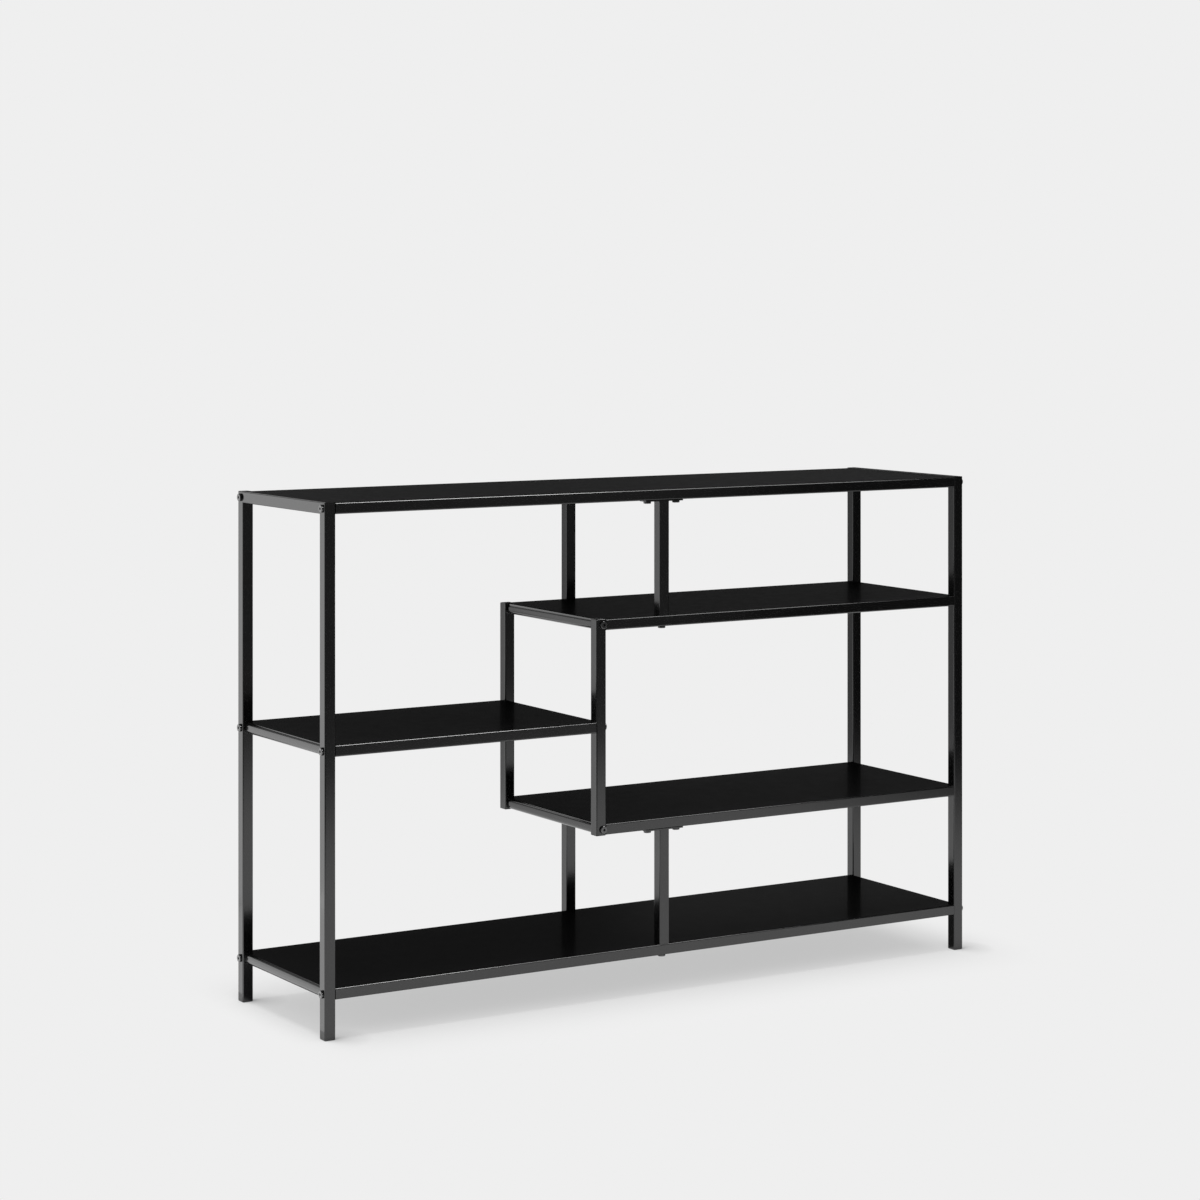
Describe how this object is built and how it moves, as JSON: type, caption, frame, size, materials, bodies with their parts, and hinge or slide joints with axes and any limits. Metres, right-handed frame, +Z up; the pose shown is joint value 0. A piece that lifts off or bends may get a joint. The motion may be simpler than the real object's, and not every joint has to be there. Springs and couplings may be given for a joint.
{
  "type": "zigzag bookshelf",
  "caption": "Long low open bookshelf of black square steel tube and folded steel decks, with a stepped zigzag middle for books and ornaments.",
  "frame": {"origin": "on the floor, under the middle of the shelf's length and depth", "axes": "+X along the shelf to the viewer's right, +Y from the front to the back, +Z up"},
  "size_m": [1.207, 0.312, 0.8],
  "materials": {
    "frame_coat": "satin black powder coat",
    "shelf_coat": "satin black powder coat",
    "bolt_black": "black oxide",
    "zinc_steel": "zinc plated",
    "black_plastic": "moulded, matt"
  },
  "bodies": {
    "root": {"bolts_centre_posts": "bolt_black", "bolts_inside_right": "zinc_steel", "bolts_left_end": "bolt_black", "bolts_middle_shelf": "bolt_black", "bolts_right_end": "bolt_black", "bolts_zigzag": "bolt_black", "centre_plate_lower_back": "frame_coat", "centre_plate_lower_front": "frame_coat", "centre_plate_upper_back": "frame_coat", "centre_plate_upper_front": "frame_coat", "centre_post_lower_back": "frame_coat", "centre_post_lower_front": "frame_coat", "centre_post_upper_back": "frame_coat", "centre_post_upper_front": "frame_coat", "end_rail_left": "frame_coat", "end_rail_right": "frame_coat", "foot_left_back": "black_plastic", "foot_left_front": "black_plastic", "foot_right_back": "black_plastic", "foot_right_front": "black_plastic", "inserts_centre_posts": "zinc_steel", "nuts_right_posts": "zinc_steel", "nuts_shelf_bottom": "zinc_steel", "nuts_shelf_lower_right": "zinc_steel", "nuts_shelf_middle_left": "zinc_steel", "nuts_shelf_top": "zinc_steel", "nuts_shelf_upper_right": "zinc_steel", "post_left_back": "frame_coat", "post_left_front": "frame_coat", "post_right_back": "frame_coat", "post_right_front": "frame_coat", "screws_centre_plates": "bolt_black", "shelf_bottom": "shelf_coat", "shelf_lower_right": "shelf_coat", "shelf_middle_left": "shelf_coat", "shelf_top": "shelf_coat", "shelf_upper_right": "shelf_coat", "zigzag_cap_bottom_back": "black_plastic", "zigzag_cap_bottom_front": "black_plastic", "zigzag_cap_top_back": "black_plastic", "zigzag_cap_top_front": "black_plastic", "zigzag_post_back": "frame_coat", "zigzag_post_front": "frame_coat"}
  },
  "joints": []
}
